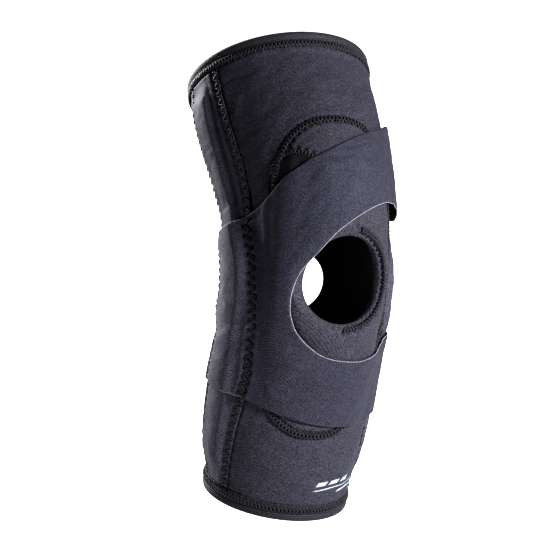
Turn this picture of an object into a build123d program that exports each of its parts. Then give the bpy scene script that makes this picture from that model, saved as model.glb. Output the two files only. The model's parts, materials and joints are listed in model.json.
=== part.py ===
"""A right-leg hinged knee brace, in millimetres, as it stands on its shin cuff with the knee part bent.

The brace is a fabric sleeve around a shin axis (+Z) and a thigh axis that leans back. The front of the
leg faces -Y, and the outer (lateral) side of the knee faces -X. A geared two-pivot hinge lies in a fabric
pocket on each side. A J-shaped pad beside the kneecap is pulled inwards by a wide strap with two legs.
Every fabric layer is the space between two lofts of the same leg shape, cut to its own outline.
"""

from build123d import *
import os
from functools import lru_cache
from math import asin, atan2, cos, degrees, hypot, pi, radians, sin, sqrt, tan

# Leg shape --------------------
REST_BEND = 42.0  # degrees between the shin axis and the thigh axis
LEG_LENGTH = 333.0  # along the centreline, from rim to rim
BEND_LENGTH = 94.5  # length of centreline over which the leg bends
CUFF = 14.0  # straight cylindrical end of each cuff
SHIN_RADIUS = 53.5
THIGH_RADIUS = 68.0
# height on the centreline, half width to the side, depth to the front, depth to the back
SECTIONS = (
    (CUFF, SHIN_RADIUS, SHIN_RADIUS, SHIN_RADIUS),
    (41, 56.8, 53.5, 60),
    (83, 58, 50, 67),
    (125, 57.2, 53, 65),
    (166, 57, 65, 54),
    (208, 58.2, 78, 47.5),
    (250, 62.8, 81.5, 51),
    (291, 67.3, 74, 61.5),
    (LEG_LENGTH - CUFF, THIGH_RADIUS, THIGH_RADIUS, THIGH_RADIUS),
)

# Layers, as distances out from the sleeve's outer face --------------------
SLEEVE = 4.0  # sleeve fabric, measured inwards
GAP = 0.2  # air left between neighbouring soft pieces
PAD = 3.2  # top of the J-shaped pad
COVER = 4.6  # top of the fabric over the pad
COVER_SKIN = 1.2
RIM = 4.7  # top of the ring around the kneecap opening
POCKET_SKIN = 1.7
POCKET_SIDE = 8.8  # top of a hinge pocket, straight out to the side
POCKET_FLAT = 2.0  # the same layer's height where it faces forwards or back
STRAP = 1.4
STRAP_SIDE = 9.0  # underside of the strap, where it crosses a hinge pocket
STRAP_FRONT = 4.9
STRAP_BACK = 2.2
HOOK = 0.9
BINDING = 1.0
BINDING_WIDTH = 12.0

# Hinges --------------------
PIVOT_SPACING = 24.0
FLEX_TURN = 34.0  # degrees each leg part turns back from the resting bend
FLEX_ROOM = FLEX_TURN + 1  # degrees between the knee's back and each leg part's edge
EXTEND_ROOM = 45.0  # the same in front, where the kneecap's fabric stays with the knee
PLATE_RADIUS = 12.0
PLATE = 0.8
ARM = 1.8
ARM_WIDTH = 14.0
ARM_LENGTH = 106.0
ARM_STRAIGHT = 26.0  # from the pivot to the thigh arm's bend
ARM_FLARE = 7.0  # degrees the thigh arm leans outwards
SIDE_GAP = 0.3  # between an arm and each plate
PLATE_X = 57.7  # inner face of the inner plate
RIVET_RADIUS = 2.5
RIVET_HEAD_RADIUS = 4.0
RIVET_HEAD = 0.7
RUNNING = 0.05
WASHER = 0.2
WASHER_RADIUS = 6.0
STOP_RADIUS = 1.3
STOP_REACH = 9.4  # from the middle of the hinge to each stop pin
LUG_RADIUS = 14.9
LUG_ARC = 28.0  # degrees
LUG_SLACK = 0.3  # degrees between a lug and its pin at the end of the movement
TEETH = 16
PRESSURE_ANGLE = 25.0
TOOTH_ADDENDUM = 0.85  # as a share of the module
TOOTH_DEDENDUM = 1.15
BACKLASH = 0.12
TOOTHED_ARC = 110.0  # degrees of each head that carries teeth
POCKET_WIDTH = 30.0
CHANNEL_WIDTH = 20.0

# Openings and outlines, seen square on to the kneecap --------------------
KNEECAP_CENTRE = (-1.5, -2.5)
KNEECAP_HALF = (29.0, 31.0)
RING_WIDTH = 3.5
BACK_OPENING_HALF = (34.0, 46.0)
BACK_BINDING = 3.0
OVAL_CENTRE_X = -4.0
OVAL_RADIUS = 45.0
OVAL_HALF_HEIGHT = 116.0
OVAL_HEM = 4.0
PAD_PATH = ((-29, 76), (-39, 42), (-42, 4), (-37, -26), (-21, -46), (0, -53), (19, -50))
PAD_WIDTH = 15.0
# the edge of the strap's cut-out, from the upper leg round the kneecap to the lower leg
CUT_OUT = (
    (50, 57), (38, 54), (17, 48), (2, 42), (-11, 29), (-28, 8),
    (-36, -17), (-28, -43), (0, -58.5), (25, -59.5), (43, -52), (50, -47),
)
# strap edges in each leg part's own front view, as (sideways, height)
STRAP_TOP = (
    (-90, 199), (-57, 202), (-48, 210), (-35, 219), (-19, 226),
    (0, 236), (26, 248), (54, 269), (90, 294),
)
STRAP_BOTTOM = (
    (-90, 84), (-55, 85), (-44, 84), (-31, 81), (-15, 77), (3, 75), (42, 72), (90, 68),
)
UPPER_LEG_UNDER = ((-30, 165), (45, 198), (50, 207), (58, 211), (90, 213))
LOWER_LEG_OVER = ((-30, 160), (45, 140), (50, 131), (58, 132), (90, 132))
SADDLE_END = 28.0  # how far behind the centreline the strap is sewn down
SADDLE_HEIGHTS = (60, 120, 145, 166, 190, 213, 240)  # where that end follows the centreline
# loose strap ends in the side view, as (height on the centreline, distance in front of it)
UPPER_TAB = ((282, 0), (277, -41), (239, -41), (213, 0))
LOWER_TAB = ((132, 0), (98, -41), (62, -41), (69, 0))
TAB_CORNER = 9.0
HOOK_INSET = 5.0
FAR = 260.0  # reaches past the whole brace

# Centreline --------------------
BEND_START = (LEG_LENGTH - BEND_LENGTH) / 2
BEND_RADIUS = BEND_LENGTH / radians(REST_BEND)
HALF_BEND = radians(REST_BEND / 2)
BEND = radians(REST_BEND)


def centreline(height):
    """(y, z) of the leg's centreline, and how far it leans back there, in radians."""
    lean = min(max((height - BEND_START) / BEND_LENGTH, 0), 1) * BEND
    beyond = max(height - BEND_START - BEND_LENGTH, 0)
    y = BEND_RADIUS * (1 - cos(lean)) + beyond * sin(BEND)
    z = min(height, BEND_START) + BEND_RADIUS * sin(lean) + beyond * cos(BEND)
    return y, z, lean


def leg_point(height, forward):
    """(y, z) of a point some way in front of the centreline."""
    y, z, lean = centreline(height)
    return y - forward * cos(lean), z + forward * sin(lean)


AXES_MEET_Z = BEND_START + BEND_RADIUS * tan(HALF_BEND)
PIVOT_FROM_MEET = PIVOT_SPACING / 2 / cos(HALF_BEND)
LOWER_PIVOT = (0.0, AXES_MEET_Z - PIVOT_FROM_MEET)
UPPER_PIVOT = (PIVOT_FROM_MEET * sin(BEND), AXES_MEET_Z + PIVOT_FROM_MEET * cos(BEND))
KNEE = ((LOWER_PIVOT[0] + UPPER_PIVOT[0]) / 2, (LOWER_PIVOT[1] + UPPER_PIVOT[1]) / 2)


def knee_point(forward, up):
    """(y, z) of a point seen from the middle of the knee, whose front faces the kneecap."""
    return (
        KNEE[0] - forward * cos(HALF_BEND) + up * sin(HALF_BEND),
        KNEE[1] + forward * sin(HALF_BEND) + up * cos(HALF_BEND),
    )


KNEECAP_PLANE = Plane(
    origin=(0, *KNEE), x_dir=(1, 0, 0), z_dir=(0, -cos(HALF_BEND), sin(HALF_BEND))
)
SHIN_PLANE = Plane(origin=(0, *LOWER_PIVOT), x_dir=(1, 0, 0), z_dir=(0, 0, 1))
THIGH_PLANE = Plane(
    origin=(0, *UPPER_PIVOT), x_dir=(1, 0, 0), z_dir=(0, sin(BEND), cos(BEND))
)


# Solids of the leg shape --------------------
@lru_cache(maxsize=None)
def leg(side, front, back):
    """The leg shape between its cuffs, grown by the given amounts in each direction."""
    rings = []
    for height, half_width, front_depth, back_depth in SECTIONS:
        y, z, lean = centreline(height)
        plane = Plane(origin=(0, y, z), x_dir=(1, 0, 0), z_dir=(0, sin(lean), cos(lean)))
        back_arc = EllipticalCenterArc((0, 0), half_width + side, back_depth + back, 0, arc_size=180)
        front_arc = EllipticalCenterArc((0, 0), half_width + side, front_depth + front, 180, arc_size=180)
        rings.append(plane * make_face([back_arc, front_arc]))
    return loft(rings)


def layer(region, inner, outer):
    """The part of a region that lies between two grown leg shapes."""
    return (region & leg(*outer)) - leg(*inner)


def even(amount):
    """The same growth in every direction."""
    return amount, amount, amount


def side_prism(points, low_x=-FAR, high_x=FAR):
    """A straight-sided outline in the side view, as thick as asked across the leg."""
    face = make_face(Plane.YZ * Polyline(*points, close=True))
    return Pos(low_x, 0, 0) * extrude(face, high_x - low_x, dir=(1, 0, 0))


def front_prism(sketch, near=0.0, far=FAR):
    """An outline seen square on to the kneecap, running forwards between two distances."""
    return KNEECAP_PLANE * (Pos(0, 0, near) * extrude(sketch, far - near))


def on_leg(edge):
    return [leg_point(height, forward) for height, forward in edge]


# How the sleeve divides --------------------
HALF_SPACING = PIVOT_SPACING / 2
FRONT_RISE = HALF_SPACING + FAR * tan(radians(EXTEND_ROOM))
BACK_RISE = HALF_SPACING + FAR * tan(radians(FLEX_ROOM))


def leg_part(up, clear=GAP / 2):
    """The wedge of space that belongs to the thigh (up is 1) or the shin (up is -1)."""
    return side_prism(
        [
            knee_point(0, up * (HALF_SPACING + clear)),
            knee_point(FAR, up * (FRONT_RISE + clear)),
            knee_point(FAR, up * 2 * FAR),
            knee_point(-FAR, up * 2 * FAR),
            knee_point(-FAR, up * (BACK_RISE + clear)),
        ]
    )


def knee_part(clear=GAP / 2):
    """The waisted space between the two wedges, around both pivots."""
    return side_prism(
        [
            knee_point(0, HALF_SPACING - clear),
            knee_point(FAR, FRONT_RISE - clear),
            knee_point(FAR, -FRONT_RISE + clear),
            knee_point(0, -HALF_SPACING + clear),
            knee_point(-FAR, -BACK_RISE + clear),
            knee_point(-FAR, BACK_RISE - clear),
        ]
    )


def half_space(plane, forward, clear=GAP / 2):
    """Everything in front of (1) or behind (-1) the plane of one leg axis, and clear of it."""
    box = Box(2 * FAR, FAR, 4 * FAR)
    return plane * (Pos(0, -forward * (FAR / 2 + clear), 0) * box)


THIGH = leg_part(1)
SHIN = leg_part(-1)
MIDDLE = knee_part()
THIGH_CUFF_PLANE = THIGH_PLANE.offset(
    hypot(
        centreline(LEG_LENGTH)[0] - UPPER_PIVOT[0], centreline(LEG_LENGTH)[1] - UPPER_PIVOT[1]
    )
)


def ring(outer, inner, low, high):
    """A plain ring about +Z."""
    disc = Circle(outer) - Circle(inner)
    return Pos(0, 0, low) * extrude(disc, high - low)


# Fabric sleeve --------------------
def sleeve_panels():
    """Front and back panels of the thigh and the shin, each with its half of the cuff."""
    wall = (even(-SLEEVE), even(0))
    thigh = layer(THIGH, *wall)
    shin = layer(SHIN, *wall)
    thigh += THIGH_CUFF_PLANE * ring(
        THIGH_RADIUS, THIGH_RADIUS - SLEEVE, -CUFF, -BINDING - GAP
    )
    shin += ring(SHIN_RADIUS, SHIN_RADIUS - SLEEVE, BINDING + GAP, CUFF)
    return {
        "thigh_front_panel": thigh & half_space(THIGH_PLANE, 1),
        "thigh_back_panel": thigh & half_space(THIGH_PLANE, -1),
        "shin_front_panel": shin & half_space(SHIN_PLANE, 1),
        "shin_back_panel": shin & half_space(SHIN_PLANE, -1),
    }


def kneecap_outline(extra):
    """The kneecap opening, grown all round."""
    half = (KNEECAP_HALF[0] + extra, KNEECAP_HALF[1] + extra)
    return Pos(*KNEECAP_CENTRE) * Ellipse(*half)


def back_outline(extra):
    """The opening behind the knee, grown all round."""
    return Ellipse(BACK_OPENING_HALF[0] + extra, BACK_OPENING_HALF[1] + extra)


def knee_sleeve():
    """The stretch fabric round the knee, open over the kneecap and behind the knee."""
    wall = layer(MIDDLE, even(-SLEEVE), even(0))
    wall -= front_prism(kneecap_outline(RING_WIDTH + GAP))
    return wall - front_prism(back_outline(BACK_BINDING + GAP), -FAR, 0)


def kneecap_ring():
    """The soft rim that finishes the kneecap opening through sleeve and cover."""
    hoop = front_prism(kneecap_outline(RING_WIDTH) - kneecap_outline(0))
    return layer(hoop, even(-SLEEVE - BINDING / 2), even(RIM))


def back_binding():
    """The bound edge of the opening behind the knee."""
    hoop = front_prism(back_outline(BACK_BINDING) - back_outline(0), -FAR, 0)
    return layer(hoop, even(-SLEEVE - BINDING / 2), even(BINDING / 2))


def cuff_binding(radius):
    """Tape folded over a cuff's rim, standing on z = 0 with the sleeve above it."""
    outer = ring(radius + GAP + BINDING, radius - SLEEVE - GAP - BINDING, 0, BINDING_WIDTH)
    return outer - ring(radius + GAP, radius - SLEEVE - GAP, BINDING, BINDING_WIDTH)


# J-shaped pad and its cover --------------------
def oval(inset):
    """The outline of the fabric over the pad."""
    radius = OVAL_RADIUS - inset
    straight = OVAL_HALF_HEIGHT - OVAL_RADIUS
    return Pos(OVAL_CENTRE_X, 0) * Rot(0, 0, 90) * SlotCenterToCenter(2 * straight, 2 * radius)


def buttress_pad():
    """The J-shaped foam pad beside and below the kneecap."""
    path = Spline(*PAD_PATH)
    outline = trace(path, PAD_WIDTH)
    for end in (path @ 0, path @ 1):
        outline += Pos(end.X, end.Y) * Circle(PAD_WIDTH / 2)
    outline &= oval(OVAL_HEM + GAP)
    outline -= kneecap_outline(RING_WIDTH + GAP)
    return layer(front_prism(outline), even(GAP), even(PAD))


def buttress_cover():
    """The fabric over the pad, with its hem sewn down all round."""
    hole = kneecap_outline(RING_WIDTH + GAP)
    skin = layer(front_prism(oval(0) - hole), even(GAP), even(COVER))
    return skin - (front_prism(oval(OVAL_HEM)) & leg(*even(COVER - COVER_SKIN)))


# Hinge pockets --------------------
def strip(plane, width, low, high, side):
    """A strip along one leg axis, on one side of the leg."""
    box = Box(FAR, width, high - low)
    return plane * (Pos(side * FAR / 2, 0, (low + high) / 2) * box)


def pivot_disc(pivot, radius, side):
    """A cylinder on a pivot's axis, on one side of the leg."""
    turned = Rot(0, 90, 0) * Cylinder(radius, FAR)
    return Pos(side * FAR / 2, pivot[0], pivot[1]) * turned


POCKET_OUTER = (POCKET_SIDE, POCKET_FLAT, POCKET_FLAT)
POCKET_INNER = (POCKET_SIDE - POCKET_SKIN, POCKET_FLAT, POCKET_FLAT)
THIGH_CUFF_HEIGHT = (THIGH_CUFF_PLANE.origin - THIGH_PLANE.origin).length
POCKET_END = CUFF + 1
POCKET_HEM = (POCKET_WIDTH - CHANNEL_WIDTH) / 2


def pocket(side, up):
    """The tunnel of fabric over one arm of one hinge, sewn down along both sides."""
    if up > 0:
        plane, pivot, space = THIGH_PLANE, UPPER_PIVOT, THIGH
        low, high = 0, THIGH_CUFF_HEIGHT - POCKET_END
        channel = (0, high - POCKET_HEM)
    else:
        plane, pivot, space = SHIN_PLANE, LOWER_PIVOT, SHIN
        low, high = POCKET_END - LOWER_PIVOT[1], 0
        channel = (low + POCKET_HEM, 0)
    outer = layer(strip(plane, POCKET_WIDTH, low, high, side) & space, even(GAP), POCKET_OUTER)
    outer -= pivot_disc(pivot, POCKET_WIDTH / 2 + GAP, side)
    tunnel = strip(plane, CHANNEL_WIDTH, *channel, side) & leg(*POCKET_INNER)
    return outer - tunnel


def pocket_cap(side):
    """The fabric over the pivots, open at both ends for the arms."""
    outline = Rot(0, 0, 90) * SlotCenterToCenter(PIVOT_SPACING, POCKET_WIDTH - 2 * GAP)
    plane = Plane(origin=(0, *KNEE), x_dir=(0, cos(HALF_BEND), -sin(HALF_BEND)), z_dir=(1, 0, 0))
    prism = plane * extrude(outline, side * FAR)
    return layer(prism, POCKET_INNER, POCKET_OUTER)


# Strap --------------------
STRAP_INNER = (STRAP_SIDE, STRAP_FRONT, STRAP_BACK)
STRAP_OUTER = (STRAP_SIDE + STRAP, STRAP_FRONT + STRAP, STRAP_BACK + STRAP)
HOOK_OUTER = (STRAP_SIDE - GAP, STRAP_FRONT - GAP, STRAP_BACK - GAP)
HOOK_INNER = (HOOK_OUTER[0] - HOOK, HOOK_OUTER[1] - HOOK, HOOK_OUTER[2] - HOOK)


def cut_out():
    """The opening between the strap's legs, round the kneecap."""
    return front_prism(make_face([Spline(*CUT_OUT), Line(CUT_OUT[-1], CUT_OUT[0])]))


def front_view(lean, points):
    """Everything inside an outline in the front view of a leg part that leans back."""
    end_y, end_z, _ = centreline(LEG_LENGTH)
    origin = (0, 0, 0)
    if lean:
        origin = (0, end_y - LEG_LENGTH * sin(lean), end_z - LEG_LENGTH * cos(lean))
    plane = Plane(origin=origin, x_dir=(1, 0, 0), z_dir=(0, -cos(lean), sin(lean)))
    return plane * extrude(make_face(Polyline(*points, close=True)), FAR, both=True)


def below(lean, edge):
    """Everything below an edge drawn in a front view."""
    return front_view(lean, list(edge) + [(edge[-1][0], -FAR), (edge[0][0], -FAR)])


def above(lean, edge):
    """Everything above an edge drawn in a front view."""
    return front_view(lean, list(edge) + [(edge[-1][0], 2 * FAR), (edge[0][0], 2 * FAR)])


def saddle_region():
    """The strap's wide outer half, from its sewn end to the middle of the front."""
    rear = [leg_point(height, -SADDLE_END) for height in SADDLE_HEIGHTS]
    front = [leg_point(SADDLE_HEIGHTS[-1], FAR / 2), leg_point(SADDLE_HEIGHTS[0], FAR / 2)]
    band = side_prism(rear + front, -FAR, -GAP / 2)
    return band & below(BEND, STRAP_TOP) & above(0, STRAP_BOTTOM)


def tab_outline(corners, inset):
    """One loose strap end in the side view, rounded at its free corners."""
    outline = make_face(Plane.YZ * Polyline(*on_leg(corners), close=True))
    free = outline.vertices().sort_by(Axis.Y)[-2:]
    outline = fillet(free, TAB_CORNER)
    if inset:
        outline = offset(outline, -inset)
    return extrude(outline, FAR, dir=(1, 0, 0))


def strap_leg(space, plane, band):
    """What one leg of the strap covers: a share of the saddle, then a band to the inner side."""
    inner_half = Pos(FAR / 2 - GAP / 2, 0, 0) * Box(FAR, 4 * FAR, 4 * FAR)
    return (saddle_region() & space) + (band & inner_half & half_space(plane, 1))


def strap_pieces():
    """The strap as three sheets, each with its own stretch to bend over, and its two loose ends."""
    regions = {
        "strap_saddle": saddle_region() & MIDDLE,
        "strap_upper_leg": strap_leg(
            THIGH, THIGH_PLANE, below(BEND, STRAP_TOP) & above(BEND, UPPER_LEG_UNDER)
        ),
        "strap_lower_leg": strap_leg(
            SHIN, SHIN_PLANE, above(0, STRAP_BOTTOM) & below(0, LOWER_LEG_OVER)
        ),
    }
    opening = cut_out()
    pieces = {
        name: layer(region - opening, STRAP_INNER, STRAP_OUTER) for name, region in regions.items()
    }
    for name, plane, corners in (("upper", THIGH_PLANE, UPPER_TAB), ("lower", SHIN_PLANE, LOWER_TAB)):
        loose = layer(tab_outline(corners, 0), STRAP_INNER, STRAP_OUTER)
        pieces[f"strap_{name}_tab"] = loose & half_space(plane, -1)
        hooks = layer(tab_outline(corners, HOOK_INSET), HOOK_INNER, HOOK_OUTER)
        pieces[f"{name}_hook_patch"] = hooks & half_space(plane, -1, POCKET_WIDTH / 2 + 1)
    return pieces


# Hinge hardware --------------------
ARM_X = PLATE_X + PLATE + SIDE_GAP
OUTER_PLATE_X = ARM_X + ARM + SIDE_GAP
STACK = OUTER_PLATE_X + PLATE - PLATE_X  # from the inner plate's inner face to the outer plate's outer face
MODULE = PIVOT_SPACING / TEETH
PITCH_RADIUS = PIVOT_SPACING / 2


def hinge_plane(side, x):
    """A sketch plane in the hinge, its y axis along the line from the lower pivot to the upper one."""
    return Plane(
        origin=(side * x, *KNEE), x_dir=(0, -cos(HALF_BEND), sin(HALF_BEND)), z_dir=(-1, 0, 0)
    )


def flat_part(sketch, side, x, thickness):
    """A flat hinge part whose inner face is x from the middle of the leg."""
    start = x if side < 0 else x + thickness
    return hinge_plane(side, start) * extrude(sketch, thickness)


def involute(base, radius):
    """The angle an involute has turned through when it reaches a radius."""
    reach = sqrt(max((radius / base) ** 2 - 1, 0))
    return reach - atan2(reach, 1)


def toothed_disc(phase):
    """A full gear, turned by phase degrees; the arm's head keeps only part of its teeth."""
    base = PITCH_RADIUS * cos(radians(PRESSURE_ANGLE))
    tip = PITCH_RADIUS + TOOTH_ADDENDUM * MODULE
    root = PITCH_RADIUS - TOOTH_DEDENDUM * MODULE
    half = pi / (2 * TEETH) - BACKLASH / (2 * PITCH_RADIUS) + involute(base, PITCH_RADIUS)
    disc = Circle(root)
    radii = [root - 0.3, base, PITCH_RADIUS, tip]
    flank = [(r, half - involute(base, max(r, base))) for r in radii]
    outline = flank + [(r, -a) for r, a in reversed(flank)]
    tooth = make_face(Polyline(*[(r * cos(a), r * sin(a)) for r, a in outline], close=True))
    for n in range(TEETH):
        disc += Rot(0, 0, phase + n * 360 / TEETH) * tooth
    return disc


def sector(radius, start, end):
    """A slice of a disc between two angles in degrees."""
    middle = radians((start + end) / 2)
    ends = [(2 * radius * cos(a), 2 * radius * sin(a)) for a in (radians(start), middle, radians(end))]
    return Circle(radius) & make_face(Polyline((0, 0), *ends, close=True))


def stop_lugs():
    """Two lugs on the upper arm's head: the front one stops extension, the back one stops flexion."""
    to_pin = degrees(atan2(HALF_SPACING, STOP_REACH))
    half_pin = degrees(asin(STOP_RADIUS / hypot(HALF_SPACING, STOP_REACH)))
    front = -to_pin + half_pin + REST_BEND / 2 + LUG_SLACK
    back = 180 + to_pin - half_pin - FLEX_TURN - LUG_SLACK
    return sector(LUG_RADIUS, front, front + LUG_ARC) + sector(LUG_RADIUS, back - LUG_ARC, back)


def arm_head(up):
    """The geared head of one arm: teeth face the other arm, and two lugs meet the stop pins."""
    phase = -90 * up + (0 if up > 0 else 180 / TEETH)
    teeth = toothed_disc(phase) & sector(
        2 * PITCH_RADIUS, -90 * up - TOOTHED_ARC / 2, -90 * up + TOOTHED_ARC / 2
    )
    lugs = stop_lugs()
    if up < 0:
        lugs = mirror(lugs, Plane.XZ)
    head = Circle(PITCH_RADIUS - TOOTH_DEDENDUM * MODULE) + teeth + lugs
    return Pos(0, up * HALF_SPACING) * (head - Circle(RIVET_RADIUS + RUNNING))


def arm(side, up):
    """A toothed hinge arm: a flat head and a bar with a round end, which flares on the thigh."""
    head = flat_part(arm_head(up), side, ARM_X, ARM)
    plane = THIGH_PLANE if up > 0 else SHIN_PLANE
    flare = tan(radians(ARM_FLARE)) if up > 0 else 0
    tip_x = ARM_X + flare * (ARM_LENGTH - ARM_STRAIGHT)
    start = PITCH_RADIUS - 4
    profile = [
        (ARM_X, start), (ARM_X, ARM_STRAIGHT), (tip_x, ARM_LENGTH),
        (tip_x + ARM, ARM_LENGTH), (ARM_X + ARM, ARM_STRAIGHT), (ARM_X + ARM, start),
    ]
    profile = [(side * x, up * h) for x, h in profile]
    face = make_face(Polyline(*profile, close=True))
    upright = Plane(origin=plane.origin, x_dir=(1, 0, 0), z_dir=-plane.y_dir)
    bar = upright * (Pos(0, 0, -ARM_WIDTH / 2) * extrude(face, ARM_WIDTH))
    outline = Pos(0, ARM_LENGTH / 2) * Rot(0, 0, 90) * SlotOverall(ARM_LENGTH, ARM_WIDTH)
    across = Plane(origin=plane.origin, x_dir=plane.y_dir, z_dir=plane.x_dir)
    blank = across * extrude(Rot(0, 0, 0 if up > 0 else 180) * outline, side * FAR)
    return head + (bar & blank)


def plate_outline():
    """A plate that reaches round both pivots, with holes for the stop pins."""
    outline = Rot(0, 0, 90) * SlotCenterToCenter(PIVOT_SPACING, 2 * PLATE_RADIUS)
    for way in (-1, 1):
        outline -= Pos(way * STOP_REACH, 0) * Circle(STOP_RADIUS + RUNNING)
    return outline


def rivet(grow=0.0):
    """A rivet whose inner end is sunk flush into the inner plate."""
    taper = degrees(atan2(RIVET_HEAD_RADIUS - RIVET_RADIUS, PLATE))
    cone = extrude(Circle(RIVET_HEAD_RADIUS + grow), PLATE, taper=taper)
    shank = extrude(Circle(RIVET_RADIUS + grow), STACK)
    head = Pos(0, 0, STACK) * extrude(Circle(RIVET_HEAD_RADIUS), RIVET_HEAD)
    return cone + shank + head


def hinge_hardware(side):
    """Everything that one hinge holds between and through its two plates."""
    inner = flat_part(plate_outline(), side, PLATE_X, PLATE)
    outer = flat_part(plate_outline(), side, OUTER_PLATE_X, PLATE)
    rivets, washers, stops = [], [], []
    for way in (-1, 1):
        across = Plane(
            origin=(side * PLATE_X, *knee_point(0, way * HALF_SPACING)), z_dir=(side, 0, 0)
        )
        rivets.append(across * rivet())
        inner -= across * rivet(RUNNING)
        outer -= across * rivet(RUNNING)
        shim = Circle(WASHER_RADIUS) - Circle(RIVET_RADIUS + RUNNING)
        shim = Pos(0, way * HALF_SPACING) * shim
        for x in (PLATE_X + PLATE, ARM_X + ARM):
            washers.append(flat_part(shim, side, x + (SIDE_GAP - WASHER) / 2, WASHER))
        pin = Pos(way * STOP_REACH, 0) * Circle(STOP_RADIUS)
        stops.append(flat_part(pin, side, PLATE_X, STACK))
    return {
        "hinge_inner_plate": inner,
        "hinge_outer_plate": outer,
        "hinge_rivets": Compound(children=rivets),
        "hinge_washers": Compound(children=washers),
        "hinge_stop_pins": Compound(children=stops),
    }


def build():
    nodes = sleeve_panels()
    nodes["knee_sleeve"] = knee_sleeve()
    nodes["kneecap_ring"] = kneecap_ring()
    nodes["back_opening_binding"] = back_binding()
    nodes["shin_cuff_binding"] = cuff_binding(SHIN_RADIUS)
    nodes["thigh_cuff_binding"] = THIGH_CUFF_PLANE * (
        Rot(180, 0, 0) * cuff_binding(THIGH_RADIUS)
    )
    nodes["buttress_pad"] = buttress_pad()
    nodes["buttress_cover"] = buttress_cover()
    nodes.update(strap_pieces())
    for name, side in (("lateral", -1), ("medial", 1)):
        nodes[f"{name}_pocket_thigh"] = pocket(side, 1)
        nodes[f"{name}_pocket_shin"] = pocket(side, -1)
        nodes[f"{name}_pocket_cap"] = pocket_cap(side)
        nodes[f"{name}_upper_arm"] = arm(side, 1)
        nodes[f"{name}_lower_arm"] = arm(side, -1)
        for part_name, part in hinge_hardware(side).items():
            nodes[f"{name}_{part_name}"] = part
    return nodes


os.makedirs("parts", exist_ok=True)
for node, shape in build().items():
    export_step(shape, f"parts/{node}.step")
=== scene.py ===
"""The looks of the hinged knee brace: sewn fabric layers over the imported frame, in one shared frame.

Every fabric layer is laid on the leg's shape, which is measured from the frame's sleeve. A place on the
leg is (s, around): s is millimetres along the centreline from the shin rim, and around is degrees from the
front of the leg, negative to the outer side. Lengths are millimetres until a mesh is made.
"""

import bpy
import bmesh
import json
from contextlib import contextmanager
from math import atan2, cos, pi, radians, sin, tan
import numpy as np
from mathutils import Matrix, Vector, kdtree, noise
from mathutils.bvhtree import BVHTree


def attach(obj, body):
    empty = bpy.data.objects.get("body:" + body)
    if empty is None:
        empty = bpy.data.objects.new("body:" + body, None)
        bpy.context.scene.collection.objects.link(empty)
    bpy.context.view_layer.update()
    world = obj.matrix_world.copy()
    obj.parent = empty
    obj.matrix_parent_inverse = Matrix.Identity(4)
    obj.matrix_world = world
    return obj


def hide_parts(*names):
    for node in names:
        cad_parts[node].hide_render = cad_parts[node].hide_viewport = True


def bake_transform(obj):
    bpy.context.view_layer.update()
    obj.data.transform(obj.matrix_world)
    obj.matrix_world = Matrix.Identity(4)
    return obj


MM = 0.001
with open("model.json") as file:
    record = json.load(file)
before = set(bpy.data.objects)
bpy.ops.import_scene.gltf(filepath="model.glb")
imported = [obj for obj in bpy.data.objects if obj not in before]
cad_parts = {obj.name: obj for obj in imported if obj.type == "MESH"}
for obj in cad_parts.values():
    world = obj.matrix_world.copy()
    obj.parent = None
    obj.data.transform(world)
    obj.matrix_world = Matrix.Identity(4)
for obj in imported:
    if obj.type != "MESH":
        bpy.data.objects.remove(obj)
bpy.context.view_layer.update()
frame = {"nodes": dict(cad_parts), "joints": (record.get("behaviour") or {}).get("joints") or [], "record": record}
joints = {joint["name"]: joint for joint in frame["joints"]}
mounts = {mount["name"]: mount for mount in frame["record"]["mounts"]}

# Leg shape ----------------------------------------------------------------------------------------
BEND_RADIUS = 128.9  # of the leg's centreline at the knee
THIGH_AXIS = np.array(mounts["thigh_cuff"]["axis"])
THIGH_END = np.array(mounts["thigh_cuff"]["pos_m"]) / MM
UPPER_PIVOT = np.array(joints["thigh_pivot"]["pos_m"]) / MM
LOWER_PIVOT = np.array(joints["shin_pivot"]["pos_m"]) / MM
KNEE = (UPPER_PIVOT + LOWER_PIVOT) / 2
REST_BEND = atan2(THIGH_AXIS[1], THIGH_AXIS[2])
AXES_MEET = THIGH_END[2] - THIGH_END[1] / tan(REST_BEND)
BEND_START = AXES_MEET - BEND_RADIUS * tan(REST_BEND / 2)
BEND_LENGTH = BEND_RADIUS * REST_BEND
LEG_LENGTH = BEND_START * 2 + BEND_LENGTH
MIDDLE = LEG_LENGTH / 2
KNEE_UP = np.array([0, sin(REST_BEND / 2), cos(REST_BEND / 2)])
WALL = 4.0  # the sleeve's thickness
SLEEVE_NODES = (
    "thigh_front_panel", "thigh_back_panel", "shin_front_panel", "shin_back_panel", "knee_sleeve",
)
RAY_START = 150.0  # how far from the centreline the measuring rays start
RAY_NUDGES = (0, 0.9, -0.9, 1.7, -1.7)  # a ray that meets a gap between two panels moves by this
FRONT_RAYS = (80, 52)  # degrees from the front of the leg, clear of the kneecap opening
BACK_RAYS = (101, 128)
STATIONS = 27  # places along the leg that are measured
STATION_MARGIN = 5  # from each rim


def centreline(s):
    """Points of the centreline and how far it leans back there."""
    lean = np.clip((s - BEND_START) / BEND_LENGTH, 0, 1) * REST_BEND
    past = np.maximum(s - BEND_START - BEND_LENGTH, 0)
    y = BEND_RADIUS * (1 - np.cos(lean)) + past * sin(REST_BEND)
    z = np.minimum(s, BEND_START) + BEND_RADIUS * np.sin(lean) + past * cos(REST_BEND)
    return np.stack([np.zeros_like(y), y, z], -1), lean


def frame_tree(nodes):
    """One ray-casting tree of several CAD nodes, in millimetres."""
    points, faces = [], []
    for name in nodes:
        mesh = frame["nodes"][name].data
        start = len(points)
        points += [vertex.co / MM for vertex in mesh.vertices]
        faces += [[start + i for i in face.vertices] for face in mesh.polygons]
    return BVHTree.FromPolygons(points, faces)


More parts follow.
